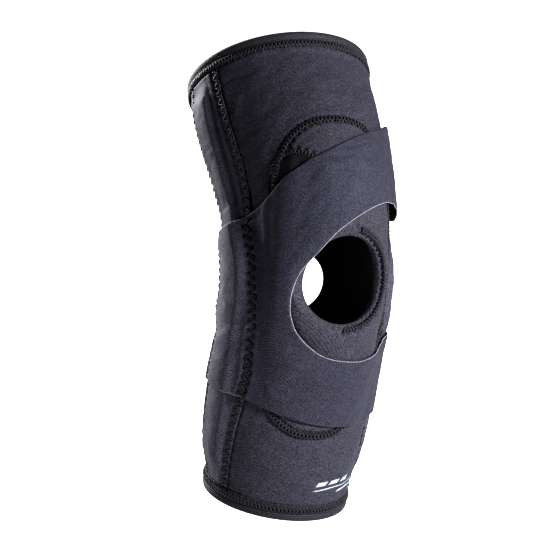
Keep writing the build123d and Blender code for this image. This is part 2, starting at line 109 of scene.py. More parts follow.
def reach(tree, s, angle):
    """How far the sleeve's outer face is from the centreline in one direction."""
    for nudge in RAY_NUDGES:
        centre, lean = centreline(np.array([s + nudge]))
        forward = np.array([0, -cos(lean[0]), sin(lean[0])])
        way = forward * cos(radians(angle)) + np.array([1, 0, 0]) * sin(radians(angle))
        _, _, _, distance = tree.ray_cast(Vector(centre[0] + way * RAY_START), Vector(-way))
        if distance and distance < RAY_START:
            return RAY_START - distance
    raise RuntimeError(f"the frame's sleeve is open at {s} mm, {angle} degrees")


def half_section(tree, s, first, second):
    """(half width, depth) of the half ellipse through two measured directions."""
    rows = []
    for angle in (first, second):
        r = reach(tree, s, angle)
        rows.append([(r * sin(radians(angle))) ** 2, (r * cos(radians(angle))) ** 2])
    inverse = np.linalg.solve(np.array(rows), np.ones(2))
    return 1 / np.sqrt(inverse)


def smooth_curve(points, closed=False, steps=16):
    """A dense curve through a few points."""
    p = np.array(points, float)
    if closed:
        p = np.vstack([p[-1], p, p[0], p[1]])
    else:
        p = np.vstack([2 * p[0] - p[1], p, 2 * p[-1] - p[-2]])
    t = np.linspace(0, 1, steps, endpoint=False)[:, None]
    runs = []
    for a, b, c, d in zip(p[:-3], p[1:-2], p[2:-1], p[3:]):
        runs.append(
            0.5 * (2 * b + (c - a) * t + (2 * a - 5 * b + 4 * c - d) * t**2
                   + (3 * b - a - 3 * c + d) * t**3)
        )
    if not closed:
        runs.append(p[-2:-1])
    return np.vstack(runs)


def measure_leg():
    """Half width, front depth and back depth along the leg, measured from the frame."""
    tree = frame_tree(SLEEVE_NODES)
    rows = []
    for s in np.linspace(STATION_MARGIN, LEG_LENGTH - STATION_MARGIN, STATIONS):
        front_side, front = half_section(tree, s, *FRONT_RAYS)
        back_side, back = half_section(tree, s, *BACK_RAYS)
        rows.append([s, (front_side + back_side) / 2, front, back])
    first = [0] + rows[0][1:]
    last = [LEG_LENGTH] + rows[-1][1:]
    return smooth_curve([first, *rows, last])


LEG = measure_leg()


def section(s, around):
    """Unit-circle terms and the half axes of the leg's section at each place."""
    side = np.interp(s, LEG[:, 0], LEG[:, 1])
    front = np.interp(s, LEG[:, 0], LEG[:, 2])
    back = np.interp(s, LEG[:, 0], LEG[:, 3])
    angle = np.radians(around)
    depth = np.where(np.cos(angle) > 0, front, back)
    return np.sin(angle), np.cos(angle), side, depth


def place(s, around, height):
    """Points some height above the leg's surface."""
    s, around, height = np.broadcast_arrays(
        np.asarray(s, float), np.asarray(around, float), np.asarray(height, float)
    )
    centre, lean = centreline(s)
    across, ahead, side, depth = section(s, around)
    normal_x = across / side
    normal_y = ahead / depth
    size = np.hypot(normal_x, normal_y)
    x = across * side + height * normal_x / size
    forward = ahead * depth + height * normal_y / size
    direction = np.stack([np.zeros_like(lean), -np.cos(lean), np.sin(lean)], -1)
    return centre + direction * forward[..., None] + np.stack([x, 0 * x, 0 * x], -1)


def mm_around(s, around):
    """Millimetres per degree around the leg."""
    across, ahead, side, depth = section(s, around)
    return np.hypot(side * ahead, depth * across) * pi / 180


def step(low, high, x):
    """0 below low, 1 above high, and smooth between."""
    t = np.clip((x - low) / (high - low), 0, 1)
    return t * t * (3 - 2 * t)


def between(first, last, share):
    """The value that is a share of the way from the first to the last."""
    return first + (last - first) * share


def bump_at(centre, width, x):
    """1 at the centre, falling away smoothly on both sides."""
    return np.exp(-(((x - centre) / width) ** 2))


# Outlines as (s, around) --------------------------------------------------------------------------
HOLE = (164.0, 1.0, 21.0, 33.0)  # centre s, centre around, half height, half width in degrees
OVAL = (160.5, -4.0, 96.5, 54.0)
OVAL_SQUARENESS = 2.5
BACK_HOLE = (MIDDLE, 180.0, 46.0, 39.0)
OVAL_SIZE = 60.0  # millimetres from the middle of the oval to its edge, about
HOLE_SIZE = 26.0  # and of the kneecap opening
STRAP_INNER_EDGE = (
    (214, 90), (206, 74), (207, 58), (203, 34), (196, 11), (187, -9), (178, -21.5), (171, -30),
    (166, -34), (161, -36), (155, -37), (149, -36.5), (144, -34.5), (138, -30.5), (131, -20.5),
    (126, -8), (124, 9), (124, 28), (127, 50), (131, 72), (132, 90),
)
STRAP_OUTER_EDGE = (
    (282, 90), (278, 74), (270, 56), (256, 36), (242, 12), (230, -9), (222, -27), (211, -48),
    (204, -68), (201, -107), (162, -107), (122, -107), (84, -107), (86, -68), (83, -42),
    (78, -18), (74, 8), (72.5, 30), (71.5, 50), (71, 72), (70, 90),
)
POCKET_TURN = 89.0  # degrees round to the middle of each hinge pocket
POCKET_END = 13.0
RIDGE = (-8.2, 13.5)  # the padded ridge's back and front edges, in millimetres in front of the arms
RIDGE_HEIGHT = 4.4
HINGE_RIDGE = (-15.4, 13.8)  # and over the hinge's plates
HINGE_HEIGHT = 6.4
HINGE_FADE = (22.0, 46.0)  # between these distances from the knee's middle, hinge gives way to arm
BACK_LEVEL = 3.3  # the padded layers stay this thick behind the ridge
HINGE_BACK_LEVEL = 5.4
RIDGE_SOFT = 3.4  # half width of the ridge's front slope
HINGE_SOFT = 1.6
POCKET_LEVEL = 1.4  # the pocket's fabric where nothing lies under it
POCKET_SLOPES = (4.5, 1.6)  # widths over which its back and front hems rise
RIDGE_LOW_END = 24.0  # the ridge rises over this length from the pocket's low end
RIDGE_HIGH_END = (36.0, 16.0)  # and sinks between these distances from the thigh rim
PIVOT_AHEAD = 5.3  # how far the pivots lie in front of the curved centreline
# Each hinge pocket's two rows of stitches, as (s, millimetres in front of the arms).
FRONT_ROW = (
    (0, 16), (60, 20), (105, 25), (135, 23.5), (165, 17.8), (194, 20.5), (215, 26), (240, 27.5),
    (267, 26.5), (301, 23.5), (333, 21.5),
)
BACK_ROW = ((0, -9.8), (122, -9.8), (144, -18.4), (190, -18.4), (212, -9.8), (333, -9.8))
HEM = 2.8  # from the front row of stitches to the pocket's cut edge
BACK_HEM = 7.5  # and from the back row
CUFF_BAND = 12.0  # width of the cuffs' tape
BACK_TAPE = 3.4  # width of the tape round the opening behind the knee
# Printed bars as (low s, high s, first turn, last turn).
PRINTED_BARS = (
    (23.5, 24.6, 2, 50), (27.0, 30.2, 4, 13), (27.0, 30.2, 16, 25), (27.0, 30.2, 28, 37),
    (19.5, 21.4, 26, 48),
)
PRINT_SLOPE = 0.06  # the line of bars rises by this much for each degree
PRINT_SLANT = 2.5  # and each bar leans over by this many degrees
PRINT_THICK = 0.3  # above and below the sleeve's face


def ellipse_level(s, around, outline, power=2.0):
    """1 on an outline, less inside it and more outside."""
    centre, turn, half_s, half_turn = outline
    away = (around - turn + 180) % 360 - 180
    sum_of = (np.abs(s - centre) / half_s) ** power + (np.abs(away) / half_turn) ** power
    return sum_of ** (1 / power)


def outline_point(t, outline, power=2.0):
    """(s, around) on an outline; t goes round once from 0 to 1."""
    centre, turn, half_s, half_turn = outline
    c, d = np.cos(2 * pi * t), np.sin(2 * pi * t)
    k = 2 / power
    return (
        centre + half_s * np.sign(c) * np.abs(c) ** k,
        turn + half_turn * np.sign(d) * np.abs(d) ** k,
    )


# Heights of each layer ----------------------------------------------------------------------------
J_PAD = ((236, -40), (212, -42), (186, -47), (162, -50), (141, -46), (124, -32), (117, -10), (119, 14))
PAD_EDGE = (3, 12)  # the pad's height falls away between these distances from its middle line
PAD_RISE = 1.9
COVER_LEVEL = 1.3  # the oval panel at its hem
COVER_FULLNESS = 1.3  # and this much more further in
COVER_LIP = 0.6  # the rolled lip round the kneecap opening
LOW_LIP = 2.4  # fuller by this below it on the outer side
RIPPLE_RADIUS = 55  # of the round leg that the unevenness is laid out on


def path_distance(s, around, path):
    """Millimetres from each place to a path on the leg."""
    best = np.full(np.shape(s), 1e9)
    for centre_s, turn in smooth_curve(path, steps=6):
        gap = np.hypot(s - centre_s, (around - turn) * mm_around(centre_s, turn))
        best = np.minimum(best, gap)
    return best


def ripple(s, around, size, seed):
    """Gentle unevenness between -1 and 1."""
    flat_s = np.ravel(s) / size
    flat_turn = np.radians(np.ravel(around)) * RIPPLE_RADIUS / size
    values = [noise.noise((a, b, seed)) for a, b in zip(flat_s, flat_turn)]
    return np.reshape(values, np.shape(s))


def pocket_row(row, s):
    """How far in front of the pocket's middle line a row of stitches lies."""
    places, offsets = zip(*row)
    return np.interp(s, places, offsets)


def arms_ahead(s):
    """How far the straight arms lie in front of the curved centreline, up to the hinge's pivots."""
    lean = np.clip((s - BEND_START) / BEND_LENGTH, 0, 1) * REST_BEND
    turned = np.minimum(lean, REST_BEND - lean)
    return np.minimum(BEND_RADIUS * (1 / np.cos(turned) - 1), PIVOT_AHEAD)


def ahead_of_pocket(s, around, side):
    """Millimetres in front of the arms of a hinge pocket."""
    return (POCKET_TURN - side * around) * mm_around(s, side * POCKET_TURN) - arms_ahead(s)


def pocket_place(s, ahead, side):
    """The turn round the leg that is some millimetres in front of the arms."""
    return side * (POCKET_TURN - (ahead + arms_ahead(s)) / mm_around(s, side * POCKET_TURN))


def pocket_height(s, around, side):
    """A hinge pocket: a flat strip in front, a padded ridge over the arm and thick layers behind it."""
    ahead = ahead_of_pocket(s, around, side)
    front = pocket_row(FRONT_ROW, s) + HEM
    back = pocket_row(BACK_ROW, s) - BACK_HEM
    hinge = 1 - step(*HINGE_FADE, np.abs(s - MIDDLE))
    low = between(RIDGE[0], HINGE_RIDGE[0], hinge)
    high = between(RIDGE[1], HINGE_RIDGE[1], hinge)
    top = between(RIDGE_HEIGHT, HINGE_HEIGHT, hinge)
    soft = between(RIDGE_SOFT, HINGE_SOFT, hinge)
    ridge = 1 - step(high - soft, high + soft, ahead)
    on_top = step(low - 0.5, low + 2.5, ahead)
    low_end = step(POCKET_END, POCKET_END + RIDGE_LOW_END, s)
    high_end = step(LEG_LENGTH - RIDGE_HIGH_END[0], LEG_LENGTH - RIDGE_HIGH_END[1], s)
    round_top = 1 - 0.1 * ((ahead - (low + high) / 2) / (high - low) * 2) ** 2
    raised = ridge * between(between(BACK_LEVEL, HINGE_BACK_LEVEL, hinge), top * round_top, on_top)
    back_slope, front_slope = POCKET_SLOPES
    edge = step(back, back + back_slope, ahead) * (1 - step(front, front + front_slope, ahead))
    return edge * (POCKET_LEVEL + low_end * (1 - high_end) * raised)


def cover_height(s, around):
    """The panel over the pad: thin at its hem, fuller inside, and proud where the pad lies."""
    inside = (1 - ellipse_level(s, around, OVAL, OVAL_SQUARENESS)) * OVAL_SIZE
    from_hole = (ellipse_level(s, around, HOLE) - 1) * HOLE_SIZE
    pad = 1 - step(*PAD_EDGE, path_distance(s, around, J_PAD))
    full = COVER_FULLNESS * step(2, 16, inside) + PAD_RISE * pad * step(4, 12, inside)
    low_outer_side = step(20, -30, around) * step(185, 165, s)
    lip = (COVER_LIP + LOW_LIP * low_outer_side) * step(-2, 5, from_hole) * (1 - step(8, 20, from_hole))
    return np.where(inside > -1, COVER_LEVEL + full + lip, 0)


GRID_STEP = 1.5  # millimetres or degrees between the places of a grid of heights
GRID_S = np.arange(0, LEG_LENGTH + 1, GRID_STEP)
GRID_TURN = np.arange(-180, 181, GRID_STEP)


def blur(grid, steps):
    """Evens out a grid of heights, some number of times."""
    for _ in range(steps):
        grid = (np.roll(grid, 1, 1) + grid + np.roll(grid, -1, 1)) / 3
        padded = np.vstack([grid[:1], grid, grid[-1:]])
        grid = (padded[:-2] + padded[1:-1] + padded[2:]) / 3
    return grid


def widen(grid, steps):
    """Spreads the high places of a grid of heights sideways."""
    for _ in range(steps):
        grid = np.maximum.reduce([np.roll(grid, 1, 1), grid, np.roll(grid, -1, 1)])
        padded = np.vstack([grid[:1], grid, grid[-1:]])
        grid = np.maximum.reduce([padded[:-2], grid, padded[2:]])
    return grid


STRAP_SEWN_TO = (-68, -56)  # turns between which the strap leaves the outer pocket it is sewn to
FLARE_FROM = (190, 205)  # from here up, the strap stands off the inner side of the thigh
FLARE_TURN = 66  # the middle of the flare, and how far to each side it reaches
FLARE_WIDTH = 16
FLARE_HEIGHT = 6.5  # at FLARE_EDGE, and less by FLARE_LOSS for each millimetre further up
FLARE_EDGE = 210
FLARE_LOSS = 0.043


def strap_drape():
    """How high the strap lies: close on the sewn outer pocket, taut over everything else."""
    s, around = np.meshgrid(GRID_S, GRID_TURN, indexing="ij")
    outer = pocket_height(s, around, -1)
    under = np.maximum.reduce([outer, pocket_height(s, around, 1), cover_height(s, around)])
    taut = blur(widen(under, 2), 7)
    close = blur(under, 1)
    sewn = 1 - step(*STRAP_SEWN_TO, around)
    flare = step(*FLARE_FROM, s) * (FLARE_HEIGHT - (s - FLARE_EDGE) * FLARE_LOSS)
    flare = flare * bump_at(FLARE_TURN, FLARE_WIDTH, around)
    return sewn * close + (1 - sewn) * (np.maximum(taut, close) + flare)


DRAPE = strap_drape()


def from_grid(grid, s, around):
    """Reads a grid of heights at any places."""
    i = np.clip(np.asarray(s) / GRID_STEP, 0, len(GRID_S) - 1.001)
    j = np.clip((np.asarray(around) + 180) / GRID_STEP, 0, len(GRID_TURN) - 1.001)
    a, b = i.astype(int), j.astype(int)
    u, v = i - a, j - b
    return (
        grid[a, b] * (1 - u) * (1 - v) + grid[a + 1, b] * u * (1 - v)
        + grid[a, b + 1] * (1 - u) * v + grid[a + 1, b + 1] * u * v
    )


STRAP_CLEAR = 0.7  # between the strap and the layers under it
STRAP_THICK = 1.5
SADDLE = (82.5, 84.5, 200.5, 202.5)  # between these s the part of the strap that is sewn on starts and ends


def strap_height(s, around):
    """The strap's outer face."""
    return from_grid(DRAPE, s, around) + STRAP_CLEAR + STRAP_THICK


def outer_pocket_face(s, around):
    """The outer hinge pocket's visible face: the strap's, where the strap is sewn over it."""
    covered = step(*SADDLE[:2], s) * (1 - step(*SADDLE[2:], s))
    bare = pocket_height(s, around, -1)
    return bare + covered * (strap_height(s, around) - bare)


def inner_pocket_face(s, around):
    """The inner hinge pocket's visible face."""
    return pocket_height(s, around, 1)


# Seams --------------------------------------------------------------------------------------------
def nearest_of(points):
    """A tree that finds the nearest of some points."""
    tree = kdtree.KDTree(len(points))
    for n, point in enumerate(points):
        tree.insert(Vector(point), n)
    tree.balance()
    return tree


SEAM_SPACING = 0.6  # between the places where a seam's line is kept
SEAM_REACH = 9  # fabric further away than this is not pulled by a seam
VALLEY = 0.55  # how deep the fabric lies between a seam's two rows of holes
SWELL = 0.35  # and how far it stands up beside them
PIT = 1.8  # how deep it is pulled at each hole
POCKET_PULL = 1.2  # the stitches of the hinge pockets pull this many times harder
THREAD_RADIUS = 0.62
THREAD_ARCH = 0.3  # how far a thread stands above the fabric, half way between its holes
POCKET_THREAD_ARCH = -0.25  # the pockets' thread is pulled into the padding
HOLE_DEPTH = 0.45  # and how far below the fabric it goes at them


class Seam:
    """A row of stitches along a path on the leg, at the height of the layer it is sewn through."""

    def __init__(self, places, height, width, pitch, closed=False, smooth=True):
        dense = smooth_curve(places, closed) if smooth else np.array(places, float)
        if closed:
            dense = np.vstack([dense, dense[:1]])
        s, around = dense[:, 0], dense[:, 1]
        rough = place(s, around, height(s, around))
        lengths = np.concatenate([[0], np.cumsum(np.linalg.norm(np.diff(rough, axis=0), axis=1))])
        count = max(int(lengths[-1] / SEAM_SPACING), 8)
        self.along = np.linspace(0, lengths[-1], count)
        s = np.interp(self.along, lengths, s)
        around = np.interp(self.along, lengths, around)
        level = height(s, around)
        self.points = place(s, around, level)
        self.normals = place(s, around, level + 1) - self.points
        self.tangents = np.gradient(self.points, axis=0)
        self.tangents /= np.linalg.norm(self.tangents, axis=1)[:, None]
        self.sides = np.cross(self.normals, self.tangents)
        self.width = width
        legs = max(int(round(lengths[-1] / pitch)), 2)
        self.pitch = lengths[-1] / legs

    def at(self, along, side, lift):
        """A point beside the seam's middle line."""
        columns = []
        for axis in range(3):
            line = self.points[:, axis] + side * self.sides[:, axis] + lift * self.normals[:, axis]
            columns.append(np.interp(along, self.along, line))
        return np.stack(columns, -1)


def sink(grid, seam_names, depth=1.0):
    """How far fabric is pulled down at each point of a grid by the stitches through it."""
    drop = np.zeros(grid[..., 0].size)
    seams = [SEAMS[name] for name in seam_names]
    owners = [(seam, i) for seam in seams for i in range(len(seam.points))]
    tree = nearest_of(np.vstack([seam.points for seam in seams]))
    for n, point in enumerate(grid.reshape(-1, 3)):
        _, nearest, distance = tree.find(Vector(point))
        if distance > SEAM_REACH:
            continue
        seam, i = owners[nearest]
        away = point - seam.points[i]
        off = float(away @ seam.sides[i])
        along = seam.along[i] + float(away @ seam.tangents[i])
        half = seam.width / 2
        valley = np.exp(-((off / (half + 0.8)) ** 4)) * VALLEY
        swell = -SWELL * bump_at(half + 2.6, 1.6, abs(off))
        phase = along / seam.pitch * 2 * pi + (0 if off > 0 else pi)
        pit = (0.5 + 0.5 * cos(phase)) ** 2 * bump_at(half, 1.3, abs(off))
        drop[n] = depth * (valley + swell + PIT * pit)
    return drop.reshape(grid.shape[:-1])


def thread_points(seam, shift, lift):
    """The zigzag line of one thread, arched between the holes it goes through."""
    holes = np.arange(0, seam.along[-1] + seam.pitch / 4, seam.pitch / 2)
    spots = []
    for n in range(len(holes) - 1):
        start_side = seam.width / 2 * (1 if (n + shift) % 2 == 0 else -1)
        for t in np.linspace(0, 1, 4, endpoint=False):
            along = holes[n] + t * seam.pitch / 2
            side = start_side * (1 - 2 * t)
            arch = lift * sin(pi * t) - HOLE_DEPTH * (1 - sin(pi * t))
            spots.append(seam.at(along, side, arch))
    return np.array(spots)


# Padding ------------------------------------------------------------------------------------------
PUFF_STEP = 3.6  # millimetres between the cloth's points
PUFF_COLUMNS = 104
PUFF_SHARE = 0.6  # of the cloth's movement that shows, and the most it may be
PUFF_LIMIT = 1.2
HELD_REACH = 3.4  # a row of stitches holds the cloth this far to each side
CLOTH_PRESSURE = 4
CLOTH_FRAMES = 20


def held_down(points, s, around):
    """The numbers of the cloth's points on a seam, a rim or the edge of an opening."""
    tree = nearest_of(np.vstack([seam.points for seam in SEAMS.values()]))
    held = np.array([tree.find(Vector(point))[2] < HELD_REACH for point in points])
    held |= np.isin(s.reshape(-1), (s[0, 0], s[-1, 0]))
    for hole, edge in ((HOLE, 0.12), (BACK_HOLE, 0.06)):
        held |= (np.abs(ellipse_level(s, around, hole) - 1) < edge).reshape(-1)
    return [int(n) for n in np.flatnonzero(held)]


def inflate(cloth, held):
    """Where the points of a piece of cloth come to rest under pressure, in millimetres."""
    cloth.vertex_groups.new(name="held").add(held, 1.0, "REPLACE")
    settings = cloth.modifiers.new("cloth", "CLOTH").settings
    settings.quality = 6
    settings.mass = 0.002
    settings.tension_stiffness = 6
    settings.compression_stiffness = 6
    settings.shear_stiffness = 2
    settings.bending_stiffness = 0.02
    settings.use_pressure = True
    settings.uniform_pressure_force = CLOTH_PRESSURE
    settings.vertex_group_mass = "held"
    settings.shrink_min = -0.02
    settings.effector_weights.gravity = 0
    for frame_number in range(1, CLOTH_FRAMES + 1):
        bpy.context.scene.frame_set(frame_number)
    moved = cloth.evaluated_get(bpy.context.evaluated_depsgraph_get()).data
    ends = np.array([vertex.co for vertex in moved.vertices]) / MM
    bpy.context.scene.frame_set(1)
    return ends


def puffed_padding():
    """Inflates the padded layers as cloth held at every seam; gives the swelling on the height grid."""
    turns = even_columns(PUFF_COLUMNS)
    s, around = np.meshgrid(np.arange(0, LEG_LENGTH + 1, PUFF_STEP), turns, indexing="ij")
    start = place(s, around, 0 * s)
    points = start.reshape(-1, 3)
    cloth = new_piece("padding", points, grid_faces(*s.shape, wrap=True), None)
    ends = inflate(cloth, held_down(points, s, around))
    bpy.data.objects.remove(cloth)
    normals = place(s, around, 0 * s + 1) - start
    swell = np.sum((ends.reshape(start.shape) - start) * normals, -1)
    swell = np.clip(swell * PUFF_SHARE, -PUFF_LIMIT / 3, PUFF_LIMIT)
    rows = [np.interp(GRID_TURN, np.append(turns, 180), np.append(row, row[0])) for row in swell]
    columns = [np.interp(GRID_S, s[:, 0], column) for column in np.array(rows).T]
    return np.array(columns).T


# Meshes -------------------------------------------------------------------------------------------
def add_object(name, data):
    """A new object in the scene."""
    added = bpy.data.objects.new(name, data)
    bpy.context.scene.collection.objects.link(added)
    return added


@contextmanager
def editing(data):
    """Opens a mesh for editing, and writes it back afterwards."""
    mesh = bmesh.new()
    mesh.from_mesh(data)
    yield mesh
    mesh.to_mesh(data)
    mesh.free()


def new_piece(name, points, faces, material):
    """A mesh object from points in millimetres."""
    mesh = bpy.data.meshes.new(name)
    mesh.from_pydata([tuple(p * MM) for p in np.asarray(points)], [], [tuple(f) for f in faces])
    mesh.validate()
    mesh.update()
    mesh.polygons.foreach_set("use_smooth", [True] * len(mesh.polygons))
    mesh.materials.append(material)
    return add_object(name, mesh)


def grid_faces(rows, columns, wrap=False, start=0, flip=False):
    """Quads between rows of points; wrap joins the last column to the first."""
    faces = []
    for i in range(rows - 1):
        for j in range(columns if wrap else columns - 1):
            k = (j + 1) % columns
            a, b = start + i * columns + j, start + i * columns + k
            c, d = b + columns, a + columns
            faces.append((a, d, c, b) if flip else (a, b, c, d))
    return faces


def tube(line, radius, sides=6):
    """Points and faces of a round thread along a line, with closed ends."""
    line = np.asarray(line)
    tangents = np.gradient(line, axis=0)
    tangents /= np.maximum(np.linalg.norm(tangents, axis=1)[:, None], 1e-9)
    up = np.array([0.31, 0.52, 0.79])
    first = np.cross(tangents, up)
    first /= np.maximum(np.linalg.norm(first, axis=1)[:, None], 1e-9)
    second = np.cross(tangents, first)
    turns = np.linspace(0, 2 * pi, sides, endpoint=False)
    rings = [line + radius * (np.cos(a) * first + np.sin(a) * second) for a in turns]
    points = np.stack(rings, 1).reshape(-1, 3)
    faces = grid_faces(len(line), sides, wrap=True, flip=True)
    faces.append(tuple(range(sides)))
    faces.append(tuple(reversed(range(len(points) - sides, len(points)))))
    return points, faces


def joined_piece(name, parts, material):
    """One piece from several lists of points and faces."""
    points, faces = [], []
    for part_points, part_faces in parts:
        start = len(points)
        points += list(part_points)
        faces += [tuple(start + i for i in face) for face in part_faces]
    return new_piece(name, points, faces, material)


def stitch_piece(name, seam_names, lift=THREAD_ARCH, crossed=True):
    """The thread of some rows of stitches: two crossing zigzags, or a single one."""
    parts = []
    for seam_name in seam_names:
        for shift in (0, 1) if crossed else (0,):
            parts.append(tube(thread_points(SEAMS[seam_name], shift, lift), THREAD_RADIUS))
    return joined_piece(name, parts, THREAD_LOOK)


def face_outwards(piece):
    """Turns every face of a closed piece to the outside."""
    with editing(piece.data) as mesh:
        bmesh.ops.recalc_face_normals(mesh, faces=mesh.faces)
    return piece


def band(name, rings, material):
    """A closed band from rings of points: each is joined to the next, and the last to the first."""
    rows, columns = rings.shape[:2]
    faces = grid_faces(rows, columns, wrap=True)
    last = (rows - 1) * columns
    for j in range(columns):
        k = (j + 1) % columns
        faces.append((last + j, last + k, k, j))
    return face_outwards(new_piece(name, rings.reshape(-1, 3), faces, material))


def sheet(name, outer, inner, material, wrap=False):
    """A closed sheet from two equal grids of points, with its edges closed."""
    rows, columns = outer.shape[:2]
    count = rows * columns
    points = np.vstack([outer.reshape(-1, 3), inner.reshape(-1, 3)])
    faces = grid_faces(rows, columns, wrap)
    faces += grid_faces(rows, columns, wrap, start=count, flip=True)
    loops = []
    if wrap:
        for row in (0, rows - 1):
            loop = [row * columns + j for j in range(columns)] + [row * columns]
            loops.append(loop if row else loop[::-1])
    else:
        top = [(rows - 1) * columns + j for j in range(columns)]
        right = [i * columns + columns - 1 for i in range(rows)]
        left = [i * columns for i in range(rows)]
        bottom = list(range(columns))
        loops = [bottom[::-1] + left[1:] + top[1:] + right[::-1][1:]]
    for loop in loops:
        for a, b in zip(loop, loop[1:]):
            faces.append((a, b, b + count, a + count))
    return face_outwards(new_piece(name, points, faces, material))


def clip(piece, keep_up):
    """Keeps the part of a piece above or below the middle of the knee, with the whole piece's shading."""
    mesh = bmesh.new()
    mesh.from_mesh(piece.data)
    bmesh.ops.bisect_plane(
        mesh, geom=mesh.verts[:] + mesh.edges[:] + mesh.faces[:], dist=1e-7,
        plane_co=Vector(KNEE * MM), plane_no=Vector(KNEE_UP),
    )
    mesh.normal_update()
    normals = {tuple(round(c, 7) for c in v.co): v.normal.copy() for v in mesh.verts}
    gone = []
    for face in mesh.faces:
        height = (face.calc_center_median() - Vector(KNEE * MM)).dot(Vector(KNEE_UP))
        if (height > 0) != keep_up:
            gone.append(face)
    bmesh.ops.delete(mesh, geom=gone, context="FACES")
    data = bpy.data.meshes.new(piece.name)
    mesh.to_mesh(data)
    mesh.free()
    data.polygons.foreach_set("use_smooth", [True] * len(data.polygons))
    own = [normals[tuple(round(c, 7) for c in v.co)] for v in data.vertices]
    if own:
        data.normals_split_custom_set_from_vertices(own)
    return data


def bend_over_knee(piece, above=(), below=()):
    """Splits a piece at the middle of the knee into an upper and a lower half."""
    for suffix, body, way, nodes in (("upper", "thigh", 1, above), ("lower", "shin", -1, below)):
        data = clip(piece, way > 0)
        if not len(data.polygons):
            continue
        for material in piece.data.materials:
            data.materials.append(material)
        half = add_object(f"{piece.name}_{suffix}", data)
        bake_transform(half)
        if nodes:
            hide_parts(*nodes)
    bpy.data.objects.remove(piece)


# Materials ----------------------------------------------------------------------------------------
class Look:
    """A procedural material built node by node; its patterns are laid out in metres."""

    def __init__(self, name, roughness, sheen=0.0, metallic=0.0):
        self.material = bpy.data.materials.new(name)
        self.material.use_nodes = True
        self.tree = self.material.node_tree
        self.shader = self.tree.nodes["Principled BSDF"]
        self.shader.inputs["Roughness"].default_value = roughness
        self.shader.inputs["Metallic"].default_value = metallic
        self.shader.inputs["Sheen Weight"].default_value = sheen
        self.shader.inputs["Sheen Roughness"].default_value = 0.45
        self.coordinates = self.node("ShaderNodeTexCoord").outputs["Object"]

    def node(self, kind, **settings):
        """A new node with some of its settings."""
        node = self.tree.nodes.new(kind)
        for name, value in settings.items():
            setattr(node, name, value)
        return node

    def link(self, source, target):
        """Joins one node's output to another's input."""
        self.tree.links.new(source, target)

    def pattern(self, kind, inputs, **settings):
        """A texture node laid out on the object."""
        node = self.node(kind, **settings)
        for name, value in inputs.items():
            node.inputs[name].default_value = value
        self.link(self.coordinates, node.inputs["Vector"])
        return node.outputs["Fac"]

    def noise(self, scale, detail=2.0):
        """Uneven grain, finer for a larger scale."""
        return self.pattern("ShaderNodeTexNoise", {"Scale": scale, "Detail": detail})

    def ribs(self, scale, direction, distortion):
        """Wavy parallel lines."""
        inputs = {"Scale": scale, "Distortion": distortion, "Detail": 1.0, "Detail Scale": 2.0}
        return self.pattern("ShaderNodeTexWave", inputs, bands_direction=direction)

    def ramp(self, value, low, high, low_at=0.3, high_at=0.7):
        """Turns a value into a colour between two."""
        node = self.node("ShaderNodeValToRGB")
        for stop, colour, position in zip(node.color_ramp.elements, (low, high), (low_at, high_at)):
            stop.color = (*colour, 1)
            stop.position = position
        self.link(value, node.inputs["Fac"])
        return node.outputs["Color"]

    def mix(self, amount, first, second):
        """One colour with an amount of a second."""
        node = self.node("ShaderNodeMix", data_type="RGBA")
        node.inputs["Factor"].default_value = amount
        self.link(first, node.inputs["A"])
        self.link(second, node.inputs["B"])
        return node.outputs["Result"]

    def add(self, first, second, first_share, second_share):
        """Shares of two values, added."""
        total = self.node("ShaderNodeMath", operation="MULTIPLY_ADD")
        scaled = self.node("ShaderNodeMath", operation="MULTIPLY")
        self.link(second, scaled.inputs[0])
        scaled.inputs[1].default_value = second_share
        self.link(first, total.inputs[0])
        total.inputs[1].default_value = first_share
        self.link(scaled.outputs[0], total.inputs[2])
        return total.outputs[0]

    def colour(self, value):
        """Sets the surface's colour."""
        self.link(value, self.shader.inputs["Base Color"])

    def bump(self, value, strength, distance):
        """Raises the surface by a value, at most a distance in millimetres."""
        node = self.node("ShaderNodeBump")
        node.inputs["Strength"].default_value = strength
        node.inputs["Distance"].default_value = distance * MM
        self.link(value, node.inputs["Height"])
        self.link(node.outputs["Normal"], self.shader.inputs["Normal"])


def darker(colour, share):
    """A colour with each channel brought down to a share."""
    return tuple(channel * share for channel in colour)


def knit(name, dark, light, sheen, rib=330.0, speckle=1300.0, relief=0.35):
    """Stretch knit: speckled yarn, fine ribs and broad uneven wear."""
    look = Look(name, 0.85, sheen)
    yarn = look.noise(speckle, 2.0)
    wear = look.noise(14.0, 3.0)
    ribs = look.ribs(rib, "DIAGONAL", 1.5)
    base = look.ramp(look.add(yarn, ribs, 0.9, 0.1), dark, light, 0.40, 0.62)
    worn = look.ramp(wear, darker(light, 0.5), darker(light, 0.85))
    look.colour(look.mix(0.25, base, worn))
    look.bump(look.add(yarn, ribs, 0.7, 0.3), 0.5, relief)
    return look.material


def sewing_thread(name, colour):
    """Thick twisted thread."""
    look = Look(name, 0.6, 0.08)
    twist = look.ribs(700.0, "DIAGONAL", 1.0)
    look.colour(look.ramp(twist, darker(colour, 0.6), colour))
    look.bump(twist, 0.6, 0.15)
    return look.material


def edge_tape(name, dark, light):
    """Ribbed stretch tape."""
    look = Look(name, 0.75, 0.06)
    ribs = look.ribs(230.0, "Z", 0.4)
    fibre = look.noise(600.0, 2.0)
    look.colour(look.mix(0.5, look.ramp(ribs, dark, light), look.ramp(fibre, dark, light)))
    look.bump(look.add(ribs, fibre, 0.8, 0.3), 0.7, 0.3)
    return look.material


def metal(name, tone, roughness):
    """Finely grained bare metal."""
    look = Look(name, roughness, 0.0, 1.0)
    grain = look.noise(900.0, 2.0)
    look.colour(look.ramp(grain, darker(tone, 0.85), tone))
    look.bump(grain, 0.15, 0.05)
    return look.material


